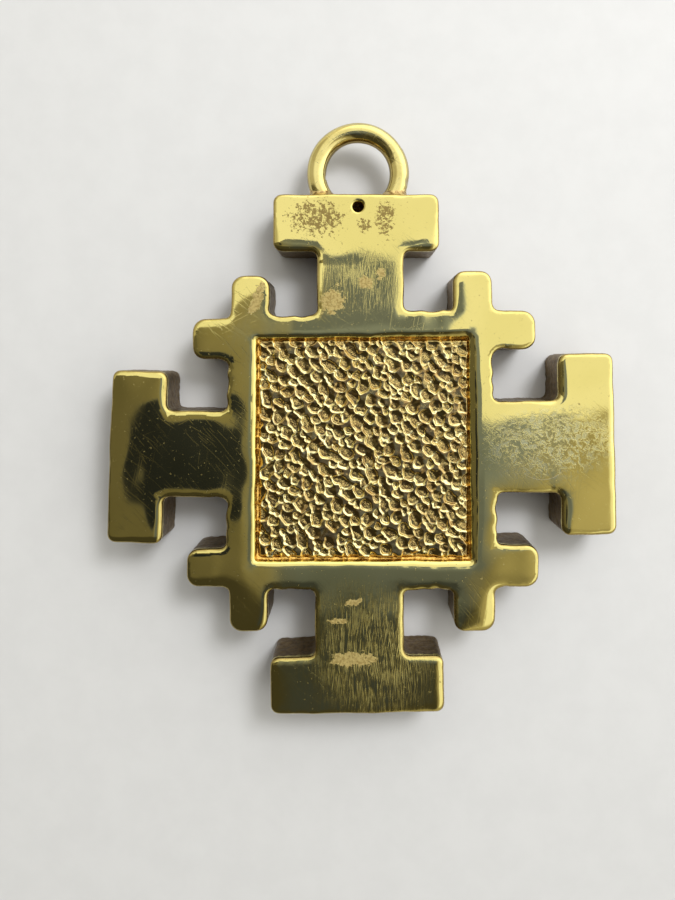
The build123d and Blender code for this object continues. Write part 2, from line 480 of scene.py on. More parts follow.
class Face:
    """The front of the body: its outline, pocket and pin hole, and how high it stands between them."""

    def __init__(self, random):
        self.outer = filed_outline(random)
        self.outer_out = outward(self.outer)
        edge_width = EDGE_WIDTH + ripple(len(self.outer), EDGE_WIDTH_WAVES, random)
        self.edge_width = widened(edge_width, self.outer, WIDE_EDGES)

        channel_loop = loops_at("cross_body", BODY_HIGH[2] - CAD_LIP_RADIUS)[0]
        self.channel = resampled(channel_loop, OUTLINE_STEP, CHANNEL_SOFTNESS)
        self.pocket_out = outward(self.channel)
        wander = ripple(len(self.channel), POCKET_WAVES, random)
        self.pocket = self.channel * (1 + CHANNEL_WIDTH / self.channel.max())
        self.pocket = moved(self.pocket, self.pocket_out, wander)
        lip_width = LIP_WIDTH + ripple(len(self.pocket), LIP_WIDTH_WAVES, random)
        self.lip_width = widened(lip_width, self.pocket, WIDE_LIPS)

        self.hole = pin_hole()
        self.hole_out = outward(self.hole)
        self.swell_seeds = np.random.default_rng(21).integers(1 << 30, size=len(FACE_WAVES))

    def height(self, points):
        from_edge, at_edge = nearest(self.outer, points)
        from_pocket, at_pocket = nearest(self.pocket, points)
        from_hole, _ = nearest(self.hole, points)
        edge_width = self.edge_width[at_edge]
        lip_width = self.lip_width[at_pocket]
        x, y = points.T
        height = FACE_TOP - flat_drop(x, y)
        for (wavelength, amplitude), seed in zip(FACE_WAVES, self.swell_seeds):
            height += swell(x, y, wavelength, amplitude, np.random.default_rng(seed))
        height -= PILLOW_DEPTH * np.exp(-from_edge / PILLOW_REACH)
        height -= 0.5 * PILLOW_DEPTH * np.exp(-from_pocket / PILLOW_REACH)
        height -= rounding(from_edge, edge_width) * EDGE_DEPTH / edge_width
        height -= rounding(from_pocket, lip_width) * LIP_DEPTH / lip_width
        return height - rounding(from_hole, RIM_RADIUS) * RIM_STEEPNESS

    def edge_ring(self, angle):
        """Points round the outline's rounded edge, at that angle up it."""
        flat = moved(self.outer, self.outer_out, -self.edge_width * (1 - cos(angle)))
        measured = rounding(nearest(self.outer, flat)[0], self.edge_width) * EDGE_DEPTH / self.edge_width
        return ring_at(flat, self.height(flat) + measured - EDGE_DEPTH * (1 - sin(angle)))

    def lip_ring(self, angle):
        """Points round the pocket's rounded lip."""
        flat = moved(self.pocket, self.pocket_out, self.lip_width * (1 - cos(angle)))
        return ring_at(flat, self.height(flat))

    def rim_ring(self, angle):
        """Points round the pin hole's worn rim."""
        flat = moved(self.hole, self.hole_out, RIM_RADIUS * (1 - cos(angle)))
        return ring_at(flat, self.height(flat))

    def clear(self, points, share, gap, hole_gap):
        """The face's points that are further in than that share of each rounded edge, and a gap more."""
        from_edge, at_edge = nearest(self.outer, points)
        from_pocket, at_pocket = nearest(self.pocket, points)
        from_hole, _ = nearest(self.hole, points)
        return points[
            (from_edge > self.edge_width[at_edge] * share + gap)
            & (from_pocket > self.lip_width[at_pocket] * share + gap)
            & (from_hole > RIM_RADIUS * share + hole_gap)
            & inside(self.outer, points)
            & ~inside(self.pocket, points)
            & ~inside(self.hole, points)
        ]

    def loose_points(self):
        """Points for the rest of the face: along its rounded edges, just beyond them, and on a grid."""
        rows = []
        for angle in GENTLE_ANGLES:
            rows.append(moved(self.outer, self.outer_out, -self.edge_width * (1 - cos(angle))))
            rows.append(moved(self.pocket, self.pocket_out, self.lip_width * (1 - cos(angle))))
            rows.append(moved(self.hole, self.hole_out, RIM_RADIUS * (1 - cos(angle)))[::2])
        for further in ROWS_BEYOND:
            rows.append(moved(self.outer, self.outer_out, -self.edge_width - further)[::2])
            rows.append(moved(self.pocket, self.pocket_out, self.lip_width + further)[::2])
        rows = thinned(np.vstack(rows), ROW_GAP)
        grid = hex_points(self.outer.min(0), self.outer.max(0), FACE_STEP)
        near_rings = self.clear(rows, 1 - cos(STEEP_ANGLES[-1]), RING_GAP, RIM_RING_GAP)
        return np.vstack([near_rings, self.clear(grid, 1, GRID_GAP, RIM_GRID_GAP)])


def moved(loop, normals, distance):
    """The loop moved out along its normals, or in where the distance is negative."""
    return loop + normals * np.reshape(distance, (-1, 1))


def ring_at(flat, height):
    return np.column_stack([flat, np.broadcast_to(height, len(flat))])


def thinned(points, gap):
    """The points with those dropped that share a small cell with an earlier one."""
    cells = np.floor(points / gap).astype(int)
    _, first = np.unique(cells, axis=0, return_index=True)
    return points[np.sort(first)]


def add_front(build, face):
    """The whole front. Returns the lowest ring of its outline, of the pocket and of the pin hole."""
    edge_rings = [build.add(face.edge_ring(angle)) for angle in STEEP_ANGLES]
    lip_rings = [build.add(face.lip_ring(angle)) for angle in STEEP_ANGLES]
    rim_rings = [build.add(face.rim_ring(angle)) for angle in STEEP_ANGLES]
    build.fill(edge_rings[-1], [lip_rings[-1], rim_rings[-1]], face.loose_points(), FRONT, face.height)
    for lower, upper in zip(edge_rings, edge_rings[1:]):
        build.strip(lower, upper, FRONT)
    for rings in (lip_rings, rim_rings):
        for lower, upper in zip(rings, rings[1:]):
            build.strip(upper, lower, FRONT)
    return edge_rings[0], lip_rings[0], rim_rings[0]


def add_walls(build, face, previous, random):
    """Rough side walls, faintly ridged, and the back's rounded edge. Returns the last ring."""
    top = build.all_points()[previous][:, 2]
    for share in np.linspace(0, 1, WALL_LEVELS)[1:]:
        ridge = WALL_RIDGE * (1 + np.sin(share * WALL_RIDGE_TURN)) / 2
        rough = ripple(len(face.outer), WALL_WAVES, random)
        depth = np.clip(ridge + WALL_DEPTH + rough, 0, WALL_DEEPEST) * min(1, 4 * share)
        flat = moved(face.outer, face.outer_out, -depth)
        here = build.add(ring_at(flat, top + (CAD_BACK_RADIUS - top) * share))
        build.strip(here, previous, WALL)
        previous = here
    for angle in BACK_ANGLES:
        flat = moved(face.outer, face.outer_out, -depth - CAD_BACK_RADIUS * (1 - cos(angle)))
        here = build.add(ring_at(flat, CAD_BACK_RADIUS * (1 - sin(angle))))
        build.strip(here, previous, WALL)
        previous = here
    return previous


def add_hole_and_back(build, face, previous, back_edge):
    """The pin hole's wall, from its rim down, and the flat back."""
    for height, grow in HOLE_LEVELS:
        here = build.add(ring_at(moved(face.hole, face.hole_out, grow), height))
        build.strip(previous, here, POCKET)
        previous = here
    grid = hex_points(face.outer.min(0), face.outer.max(0), BACK_STEP)
    from_edge, _ = nearest(face.outer, grid)
    from_hole, _ = nearest(face.hole, grid)
    clear = (from_edge > BACK_EDGE_GAP) & (from_hole > BACK_HOLE_GAP)
    grid = grid[clear & inside(face.outer, grid) & ~inside(face.hole, grid)]
    build.fill(back_edge, [previous], grid, BACK, lambda points: np.zeros(len(points)), flip=True)


def add_pocket(build, face, previous, random):
    """The pocket's steep wall and the channel's slope, down to the panel's foot, and the floor under it."""
    foot = build.all_points()[previous][:, 2]
    rough = ripple(len(face.pocket), CHANNEL_ROUGHNESS, random)
    for share, height in (
        (0.95, foot - 0.16),
        (0.8, CHANNEL_TOP + rough),
        (0.4, CHANNEL_TOP - 0.12 - rough),
        (0.0, CHANNEL_TOP - 0.2 + rough),
        (0.0, PANEL_LOW[2]),
    ):
        here = build.add(ring_at(face.channel + (face.pocket - face.channel) * share, height))
        build.strip(previous, here, POCKET)
        previous = here
    build.cap(previous, POCKET)


def make_body(materials):
    face = Face(np.random.default_rng(7))
    rough = np.random.default_rng(5)
    build = Build()
    edge, lip, rim = add_front(build, face)
    back_edge = add_walls(build, face, edge, rough)
    add_hole_and_back(build, face, rim, back_edge)
    add_pocket(build, face, lip, rough)
    body = make_mesh("cross_body_cast", build, materials, "cross_body")
    from_edge, _ = nearest(face.outer, build.all_points()[:, :2])
    add_layer(body, "from_edge", from_edge)


# ---------------------------------------------------------------- the hammered panel


def packed_dimples(low, high, random):
    """Places and sizes of hammer dimples that crowd together, larger ones first."""
    smallest, largest = DIMPLE_RADII
    sizes = smallest + (largest - smallest) * random.beta(1.2, 2.6, DIMPLE_TRIES)
    places = random.uniform(low, high, (DIMPLE_TRIES, 2))
    kept_places, kept_sizes = np.zeros((0, 2)), np.zeros(0)
    for size, at in zip(np.sort(sizes)[::-1], places):
        gap = np.linalg.norm(kept_places - at, axis=1)
        if np.all(gap > DIMPLE_SPACING * (kept_sizes + size)):
            kept_places = np.vstack([kept_places, at])
            kept_sizes = np.append(kept_sizes, size)
    return list(zip(kept_places, kept_sizes))


class Hammering:
    """A grid over the panel, with its heights, how far each dimple's floor is rubbed bright towards its lower
    side, which is partly painted light, and the painted highlight along each lower rim.
    """

    def __init__(self, low, high, random):
        nx, ny = np.ceil((high - low) / PANEL_STEP).astype(int) + 1
        self.xs, self.ys = np.linspace(low[0], high[0], nx), np.linspace(low[1], high[1], ny)
        self.x, self.y = np.meshgrid(self.xs, self.ys, indexing="ij")
        self.height, self.rubbed, self.painted_rims = (np.zeros_like(self.x) for _ in range(3))
        bend_x = [swell(self.x, self.y, *wave, random) for wave in DIMPLE_BENDS]
        bend_y = [swell(self.x, self.y, *wave, random) for wave in DIMPLE_BENDS]
        self.bent_x = self.x + sum(bend_x)
        self.bent_y = self.y + sum(bend_y)

    def strike(self, at, size, random):
        """One dimple: a leaning oval with steep sides, its floor rubbed bright towards the lower side, partly
        painted light, and a painted highlight along its lower rim.
        """
        stretch = 1.05 + 1.1 * random.beta(1.1, 2.2)
        angle = random.normal(*DIMPLE_ANGLE)
        depth = random.uniform(*DIMPLE_DEPTHS) * (0.65 + 0.35 * size / DIMPLE_RADII[1])
        lean = random.normal(*DIMPLE_LEAN_ANGLE)
        phases = random.uniform(0, tau, 2)
        reach = 1.3 * size * stretch + 0.3
        rows = slice(*np.searchsorted(self.xs, (at[0] - reach, at[0] + reach)))
        columns = slice(*np.searchsorted(self.ys, (at[1] - reach, at[1] + reach)))
        dx, dy = self.bent_x[rows, columns] - at[0], self.bent_y[rows, columns] - at[1]

        along, across = dx * cos(angle) + dy * sin(angle), dy * cos(angle) - dx * sin(angle)
        way = np.arctan2(across, along)
        uneven = 1 + 0.1 * np.sin(2 * way + phases[0]) + 0.08 * np.sin(3 * way + phases[1])
        away = np.sqrt((along / (size * stretch)) ** 2 + (across / size) ** 2) * uneven
        toward = (dx * cos(lean) + dy * sin(lean)) / (size * stretch)
        floor = -depth * np.clip(1 - DIMPLE_LEAN * np.clip(toward, 0, 1), 0.05, 1)
        bowl = floor * (1 - np.clip(away, 0, 1) ** DIMPLE_WALL)
        self.height[rows, columns] = np.minimum(self.height[rows, columns], bowl)

        # Painted highlight: a pale band along the dimple's lower rim, on the side whose wall faces the light.
        lit_lower_side = np.clip(0.6 - 2.2 * toward, 0, 1)
        # Gold on the floor, set towards its lower side where light falls: partly rubbed brass, partly painted
        # light.
        floor_wear_and_light = 1 - np.clip(away / 0.78, 0, 1) ** 4
        floor_wear_and_light = floor_wear_and_light * np.clip(1.35 - 2.6 * np.abs(toward + 0.22), 0, 1) * random.uniform(0.5, 1)
        rim_highlight = np.clip(1 - np.abs(away - 0.97) * size / RIM_HIGHLIGHT_WIDTH, 0, 1) * lit_lower_side
        rim_highlight = rim_highlight * random.uniform(0.4, 1)
        self.rubbed[rows, columns] = np.maximum(self.rubbed[rows, columns], floor_wear_and_light)
        self.painted_rims[rows, columns] = np.maximum(self.painted_rims[rows, columns], rim_highlight)

    def settle(self, low, high, random):
        """Softens the dimples a little, adds slow waves, and sinks the panel's border."""
        around = sum(np.roll(self.height, step, axis) for step in (-1, 1) for axis in (0, 1))
        self.height = (8 * self.height + around) / 12
        for wave in PANEL_WAVES:
            self.height += swell(self.x, self.y, *wave, random)
        from_x = np.minimum(self.x - low[0], high[0] - self.x)
        from_y = np.minimum(self.y - low[1], high[1] - self.y)
        border = np.minimum(from_x, from_y)
        self.height -= BORDER_DEPTH * np.exp(-((border / BORDER_WIDTH) ** 2))


def make_panel(materials):
    random = np.random.default_rng(11)
    low, high = PANEL_LOW[:2], PANEL_HIGH[:2]
    field = Hammering(low, high, random)
    for at, size in packed_dimples(low, high, random):
        field.strike(at, size, random)
    field.settle(low, high, random)

    build = Build()
    points = np.stack([field.x, field.y, PANEL_LAND + field.height], axis=2)
    top = build.add(points.reshape(-1, 3)).reshape(field.x.shape)
    for here, there in zip(top, top[1:]):
        for j in range(len(here) - 1):
            build.faces.append((here[j], there[j], there[j + 1], here[j + 1]))
            build.slots.append(0)
    border = np.concatenate([top[:, 0], top[-1, 1:], top[-2::-1, -1], top[0, -2:0:-1]])
    foot = build.add(ring_at(build.all_points()[border][:, :2], PANEL_LOW[2]))
    build.strip(foot, border, 0)
    build.cap(foot[::-1], 0)
    panel = make_mesh("textured_panel_hammered", build, materials, "textured_panel")
    # The floors' rubbed gold, placed where light falls, and the painted highlight of each lower rim, for the
    # material to read.
    add_layer(panel, "rubbed", np.append(field.rubbed.ravel(), np.zeros(len(foot))))
    add_layer(panel, "painted_rims", np.append(field.painted_rims.ravel(), np.zeros(len(foot))))


# ---------------------------------------------------------------- the bail


def make_bail(materials):
    """The wire ring, a little uneven, with its feet sunk in the arm."""
    dip = np.arcsin((RING_CENTRE[1] - ARM_END + RING_SUNK) / RING_RADIUS)
    around = np.arange(RING_SIDES) / RING_SIDES * tau
    build = Build()
    rings = []
    for angle in np.linspace(-dip, pi + dip, RING_TURNS):
        wire = WIRE_RADIUS * (1 - 0.012 + 0.012 * sin(5 * angle + 1))
        section = np.full(RING_SIDES, wire)
        for middle, facing, half, depth in RING_FLATS:
            near = max(0.0, 1 - ((np.degrees(angle) - middle) / half) ** 2)
            limit = WIRE_RADIUS - depth * near
            toward = np.cos(around - radians(facing))
            section = np.where(toward > 0.2, np.minimum(section, limit / np.maximum(toward, 0.2)), section)
        out = RING_RADIUS + section * np.cos(around)
        x = RING_CENTRE[0] + out * cos(angle)
        y = RING_CENTRE[1] + out * sin(angle)
        z = RING_CENTRE[2] + section * np.sin(around)
        rings.append(build.add(np.column_stack([x, y, z])))
    build.tube(rings)
    make_mesh("bail_wire", build, materials, "bail_loop")


def make_braze(name, side, materials):
    """Brazing metal that flares from the wire onto the arm, a little uneven."""
    random = np.random.default_rng(31 + side)
    around = np.arange(BRAZE_SIDES) / BRAZE_SIDES * tau
    low, high = (np.array(corner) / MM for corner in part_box(name))
    rise = high[1] - low[1]
    build = Build()
    rings = []
    wobble = 1 + 0.16 * np.sin(3 * around + random.uniform(0, tau))
    wobble += 0.12 * np.sin(5 * around + random.uniform(0, tau))
    reach_at_foot = (high[2] - low[2]) / 2 - WIRE_RADIUS
    for share in BRAZE_SHARES:
        height = share * rise * (0.82 + 0.18 * np.sin(2 * around + 1))
        drop = RING_CENTRE[1] - ARM_END - height
        out = np.sqrt(RING_RADIUS**2 - drop**2)
        reach = reach_at_foot * BRAZE_FULLNESS * (1 - share) ** BRAZE_FALL * wobble
        section = WIRE_RADIUS * (1 - 0.05 * share) + reach
        x = RING_CENTRE[0] + side * out + section * np.cos(around) * RING_RADIUS / out
        z = RING_CENTRE[2] + section * np.sin(around)
        rings.append(build.add(np.column_stack([x, ARM_END + height, z])))
    build.tube(rings)
    make_mesh(f"{name}_flare", build, materials, name)


# ---------------------------------------------------------------- materials


class Nodes:
    """Short ways to add and join the nodes of one tree."""

    def __init__(self, tree):
        self.tree = tree

    def add(self, kind, inputs=None, **settings):
        """A new node. Its inputs are given as values or as sockets to link."""
        node = self.tree.nodes.new(kind)
        for name, value in settings.items():
            setattr(node, name, value)
        self.put(node, inputs or {})
        return node

    def put(self, node, inputs):
        for key, value in inputs.items():
            if isinstance(value, bpy.types.NodeSocket):
                self.tree.links.new(value, node.inputs[key])
            else:
                node.inputs[key].default_value = value

    def math(self, operation, a, b=0.0):
        return self.add("ShaderNodeMath", {0: a, 1: b}, operation=operation).outputs[0]

    def plus(self, a, b):
        return self.math("ADD", a, b)

    def minus(self, a, b):
        return self.math("SUBTRACT", a, b)

    def times(self, a, b):
        return self.math("MULTIPLY", a, b)

    def largest(self, masks):
        result = masks[0]
        for mask in masks[1:]:
            result = self.math("MAXIMUM", result, mask)
        return result

    def between(self, value, low, high, to_low=0.0, to_high=1.0):
        """The value carried smoothly from one range to another, and held at its ends."""
        ranges = {"From Min": low, "From Max": high, "To Min": to_low, "To Max": to_high}
        node = self.add("ShaderNodeMapRange", {"Value": value, **ranges}, interpolation_type="SMOOTHSTEP")
        return node.outputs[0]

    def mix(self, share, a, b):
        a, b = ((*colour, 1) if isinstance(colour, tuple) else colour for colour in (a, b))
        return self.add("ShaderNodeMix", {0: share, 6: a, 7: b}, data_type="RGBA").outputs[2]


class Shader(Nodes):
    """A material with one Principled shader, worked out from places on the object in millimetres."""

    def __init__(self, name):
        self.material = bpy.data.materials.new(name)
        self.material.use_nodes = True
        super().__init__(self.material.node_tree)
        self.tree.nodes.clear()
        self.surface = self.add("ShaderNodeBsdfPrincipled")
        self.add("ShaderNodeOutputMaterial", {"Surface": self.surface.outputs["BSDF"]})
        self.place = self.add("ShaderNodeTexCoord").outputs["Object"]

    def mapped(self, scale, turn=0.0, shift=(0, 0, 0), source=None):
        """Places in millimetres, turned about Z and then scaled."""
        turned = {"Rotation": (0, 0, radians(turn)), "Scale": (1 / MM,) * 3}
        places = self.add("ShaderNodeMapping", {"Vector": source or self.place, **turned}).outputs[0]
        node = self.add("ShaderNodeMapping", {"Vector": places, "Scale": scale, "Location": shift})
        return node.outputs[0]

    def noise(self, vector, detail=2.0, roughness=0.5, distortion=0.0):
        looks = {"Scale": 1.0, "Detail": detail, "Roughness": roughness, "Distortion": distortion}
        return self.add("ShaderNodeTexNoise", {"Vector": vector, **looks}).outputs["Fac"]

    def grain(self, pitch, seed=0.0, detail=4.0, roughness=0.6, distortion=0.0):
        """Noise that looks the same whichever way it is seen, with features about a pitch across."""
        vector = self.mapped((1 / pitch,) * 3, shift=(seed, 1.3 * seed, 0))
        return self.noise(vector, detail, roughness, distortion)

    def streaks(self, turn, pitch, length, seed, detail=0.0, bend=1.5):
        """Noise drawn out along one direction, slightly bent."""
        wander = self.noise(self.mapped((0.1, 0.1, 0.1), shift=(seed, 0, 0)), detail=1.0)
        vector = self.mapped((1 / length, 1 / pitch, 1 / length), turn=turn, shift=(seed, seed * 1.7, 0))
        offset = self.add("ShaderNodeCombineXYZ", {1: self.times(wander, bend / pitch)}).outputs[0]
        bent = self.add("ShaderNodeVectorMath", {0: vector, 1: offset}, operation="ADD")
        return self.noise(bent.outputs[0], detail=detail)

    def scratches(self, turn, pitch, length, seed, limit=0.68):
        """A mask of fine, separate scratches along one direction."""
        return self.between(self.streaks(turn, pitch, length, seed), limit, limit + 0.07)

    def away(self, at, size, turn):
        """How far places are from a point, in sizes."""
        middle = (at[0] * MM, at[1] * MM, 0)
        shifted = self.add("ShaderNodeVectorMath", {0: self.place, 1: middle}, operation="SUBTRACT")
        flat = self.mapped((1 / size[0], 1 / size[1], 0), turn=turn, source=shifted.outputs[0])
        return self.add("ShaderNodeVectorMath", {0: flat}, operation="LENGTH").outputs["Value"]

    def spot(self, at, size, turn=0.0, core=0.3):
        """A soft oval, 1 at its middle and 0 at its edge."""
        return self.between(self.away(at, size, turn), 1.0, core)

    def ring(self, at, radius, thickness):
        """A thin soft circle."""
        off = self.math("ABSOLUTE", self.minus(self.away(at, (1, 1), 0), radius))
        return self.between(off, thickness, 0.0)

    def spots(self, places):
        return self.largest([self.spot(*place) for place in places])

    def layer(self, name):
        return self.add("ShaderNodeAttribute", attribute_name=name).outputs["Fac"]

    def height(self):
        return self.times(self.add("ShaderNodeSeparateXYZ", {0: self.place}).outputs[2], 1 / MM)

    def finish(self, colour, roughness, relief, depth, metallic=1.0):
        """Sets the surface. The relief is a height, and depth is what 1 stands for in millimetres."""
        bump = self.add("ShaderNodeBump", {"Height": relief, "Strength": 1.0, "Distance": depth * MM})
        self.put(self.surface, {"Base Color": colour, "Roughness": roughness, "Metallic": metallic})
        self.put(self.surface, {"Normal": bump.outputs[0]})
        return self.material


BRIGHT_BRASS = (0.78, 0.675, 0.245)
OLIVE_BRASS = (0.74, 0.64, 0.22)
HAZY_BRASS = (0.76, 0.78, 0.50)
# Brown tarnish for the pits, also used as painted shade on the edge band and on the wire's lower side.
BROWN_TARNISH_AND_SHADE = (0.30, 0.21, 0.07)
PALE_RESIDUE = (0.52, 0.41, 0.155)
DARK_RESIDUE = (0.33, 0.24, 0.075)
FLECK_BRASS = (0.95, 0.85, 0.50)
# The walls' as-cast brown, darkened further as painted shade for the dark reflection they show.
WALL_BROWNS_AND_SHADE = ((0.115, 0.073, 0.03), (0.21, 0.14, 0.055))
BACK_BRASSES = ((0.46, 0.37, 0.15), (0.68, 0.57, 0.25))
BACK_BLOTCH = (0.3, 0.21, 0.09)
AMBERS = ((0.46, 0.25, 0.05), (0.92, 0.60, 0.16))
PATINAS = ((0.43, 0.29, 0.11), (0.52, 0.40, 0.155))
# Painted highlight on each dimple's lower rim, and gold for the floors that is partly painted light.
PAINTED_RIM_HIGHLIGHT = (0.92, 0.84, 0.45)
RUBBED_AND_LIT_FLOOR = (0.99, 0.75, 0.28)
WIRE_BRASSES = ((0.70, 0.59, 0.22), (0.80, 0.69, 0.28))
BRAZING_BROWNS = ((0.28, 0.17, 0.07), (0.72, 0.56, 0.24))
FLOOR_GREYS = ((0.60, 0.605, 0.615), (0.62, 0.625, 0.635))

# Places on the front: where, half sizes and how far turned.
PITTED = (
    ((-7.0, 34.8), (6.6, 4.2), 0),
    ((0.1, 33.7), (1.8, 1.7), 30),
    ((3.3, 34.6), (2.3, 4.4), 0),
)
RESIDUES = (
    ((-4.6, 22.3), (2.4, 3.2), 20),
    ((0.4, 25.0), (1.7, 1.4), 0),
    ((2.5, 26.4), (1.1, 1.4), 0),
    ((-16.0, 22.4), (1.3, 3.8), 20),
    ((-1.5, -31.1), (5.0, 1.7), 0),
    ((-1.4, -22.7), (2.0, 0.8), -15),
    ((-3.8, -25.5), (1.9, 0.7), 0),
)
BRUSHED = (
    ((0.6, -30.5), (13.5, 14.5), 0),
)
LIGHTLY_BRUSHED = (
    ((-0.2, 25.0), (8.0, 7.0), 0),
)
SMUDGED = (
    ((28.0, 0.8), (13.0, 7.2), -4),
)
SCRATCHED = (
    ((-19.0, 19.0), (10.0, 9.0), 0),
    ((0.0, 19.0), (16.0, 4.0), 0),
    ((17.0, -26.0), (8.0, 12.0), 0),
    ((28.0, -4.0), (12.0, 6.0), 0),
    ((-9.0, -35.0), (7.0, 6.0), 0),
)
LIGHTLY_SCRATCHED = (
    ((-27.0, 0.5), (12.0, 9.0), 0),
)


def buffed_brass():
    s = Shader("buffed_brass")
    colour = s.mix(s.between(s.grain(14.0, detail=2.0), 0.4, 0.62), OLIVE_BRASS, BRIGHT_BRASS)
    long_ones = s.largest([s.scratches(36, 0.3, 7, 3.1), s.scratches(50, 0.26, 4, 11.7, 0.66)])
    short_ones = s.largest([s.scratches(-28, 0.3, 4, 23.9), s.scratches(-80, 0.26, 5, 37.3)])
    curl = s.times(s.ring((26.7, -0.2), 4.15, 0.1), s.spot((27.2, -4.4), (5.0, 3.0)))
    worn = s.largest([s.spots(SCRATCHED), s.times(s.spots(LIGHTLY_SCRATCHED), 0.5), 0.2])
    scratch = s.largest([s.times(long_ones, worn), s.times(s.times(short_ones, worn), 0.5), curl])
    scratch = s.times(scratch, 0.75)
    brush = s.largest([s.streaks(87, 0.15, 3.6, 5.5, detail=2.0), s.streaks(96, 0.19, 3.0, 9.5, detail=2.0)])
    cloud = s.noise(s.mapped((0.22, 0.5, 0.3), shift=(4, 7, 0)), detail=3.0)
    brush = s.plus(brush, s.times(s.minus(cloud, 0.5), 0.4))
    rubbed = s.largest([s.spots(BRUSHED), s.times(s.spots(LIGHTLY_BRUSHED), 0.42)])
    brushed = s.times(rubbed, s.between(brush, 0.43, 0.74))
    swirl = s.grain(0.85, 8.0, detail=5.0, roughness=0.7, distortion=0.7)
    smudged = s.times(s.spots(SMUDGED), s.between(swirl, 0.47, 0.6))
    flecks = s.times(s.spots(SMUDGED), s.between(s.grain(0.5, 18.0, detail=4.0, distortion=1.2), 0.6, 0.68))
    pits = s.plus(s.grain(0.5, 2.0, detail=4.0, roughness=0.7), s.times(s.spots(PITTED), 0.2))
    pitted = s.between(pits, 0.65, 0.71)
    crusted = s.spots(RESIDUES)
    crust = s.plus(s.grain(0.75, 5.0, detail=5.0, roughness=0.7), s.times(crusted, 0.3))
    residue = s.times(s.between(crust, 0.66, 0.69), s.between(crusted, 0.0, 0.12))

    colour = s.mix(s.times(smudged, 0.6), colour, HAZY_BRASS)
    colour = s.mix(s.times(s.largest([flecks, curl]), 0.8), colour, FLECK_BRASS)
    colour = s.mix(s.times(pitted, 0.9), colour, BROWN_TARNISH_AND_SHADE)
    crumbs = s.between(s.grain(0.4, 15.0, detail=4.0, roughness=0.7), 0.38, 0.58)
    colour = s.mix(residue, colour, s.mix(crumbs, DARK_RESIDUE, PALE_RESIDUE))
    # Painted shade: a brown band along the outline's rounded edge, standing for the dark reflection those
    # edges show.
    painted_edge_shade = s.between(s.plus(s.layer("from_edge"), s.times(s.grain(1.5, 21.0), 0.3)), 0.58, 0.24)
    colour = s.mix(s.times(painted_edge_shade, 0.85), colour, BROWN_TARNISH_AND_SHADE)
    roughness = s.plus(s.between(s.grain(5.0, 4.0), 0.3, 0.7, 0.035, 0.06), s.times(scratch, 0.12))
    hazy, rotten = s.largest([smudged, flecks]), s.largest([pitted, residue])
    for mask, amount in ((brushed, 0.34), (hazy, 0.13), (rotten, 0.35), (painted_edge_shade, 0.2)):
        roughness = s.plus(roughness, s.times(mask, amount))
    relief = 0.7
    for mask, amount in ((scratch, 0.15), (brushed, 0.7), (hazy, 0.25), (pitted, 0.3)):
        relief = s.minus(relief, s.times(mask, amount))
    relief = s.plus(relief, s.times(s.times(residue, crumbs), 0.6))
    metallic = s.minus(1.0, s.times(residue, 0.6))
    return s.finish(colour, roughness, relief, 0.02, metallic)


def cast_wall_brass():
    s = Shader("cast_wall_brass")
    rough = s.grain(0.55, detail=6.0, roughness=0.65)
    lines = s.noise(s.mapped((0.25, 0.25, 3.2)), detail=3.0)
    edge = s.plus(s.height(), s.times(rough, 1.6))
    # As-cast brown, darkened as painted shade.
    colour = s.mix(s.between(rough, 0.35, 0.65), *WALL_BROWNS_AND_SHADE)
    polished = s.between(edge, 7.5, 8.0)
    colour = s.mix(polished, colour, OLIVE_BRASS)
    relief = s.plus(s.times(rough, 0.6), s.times(lines, 0.4))
    return s.finish(colour, s.between(polished, 0.0, 1.0, 0.42, 0.16), relief, 0.08)


def back_brass():
    s = Shader("sanded_back_brass")
    sanding = s.streaks(12, 0.16, 8.0, 6.0, detail=2.0)
    blotch = s.grain(1.25, 3.0, detail=5.0)
    colour = s.mix(s.between(s.grain(11.0), 0.38, 0.62), *BACK_BRASSES)
    colour = s.mix(s.between(blotch, 0.58, 0.7), colour, BACK_BLOTCH)
    relief = s.plus(s.times(sanding, 0.5), s.times(blotch, 0.5))
    return s.finish(colour, s.between(sanding, 0.3, 0.7, 0.3, 0.42), relief, 0.03)


def amber_brass():
    s = Shader("amber_channel_brass")
    rough = s.grain(0.35, 1.0)
    colour = s.mix(s.between(rough, 0.4, 0.62), *AMBERS)
    return s.finish(colour, s.between(rough, 0.3, 0.7, 0.22, 0.4), rough, 0.03)


def antiqued_brass():
    """Brown patina, with gold speckled on the dimples' floors towards their lower sides, partly rubbed brass
    and partly painted light, and a painted highlight on each lower rim.
    """
    s = Shader("antiqued_hammered_brass")
    rubbed, painted_rims = s.layer("rubbed"), s.layer("painted_rims")
    speckle = s.grain(0.3, 2.0, detail=3.0, roughness=0.7)
    patch = s.grain(1.3, 9.0, detail=3.0)
    # Gold speckle on the floors where light falls is partly painted light, and the pale lower rim is a painted
    # highlight.
    shine = s.times(s.between(rubbed, 0.05, 0.5), s.between(speckle, 0.49, 0.58))
    patina = s.mix(s.between(patch, 0.42, 0.6), *PATINAS)
    colour = s.mix(s.between(painted_rims, 0.1, 0.5), patina, PAINTED_RIM_HIGHLIGHT)
    colour = s.mix(shine, colour, RUBBED_AND_LIT_FLOOR)
    roughness = s.plus(0.12, s.times(shine, 0.3))
    relief = s.times(speckle, s.plus(0.1, s.times(rubbed, 0.9)))
    return s.finish(colour, roughness, relief, 0.16)


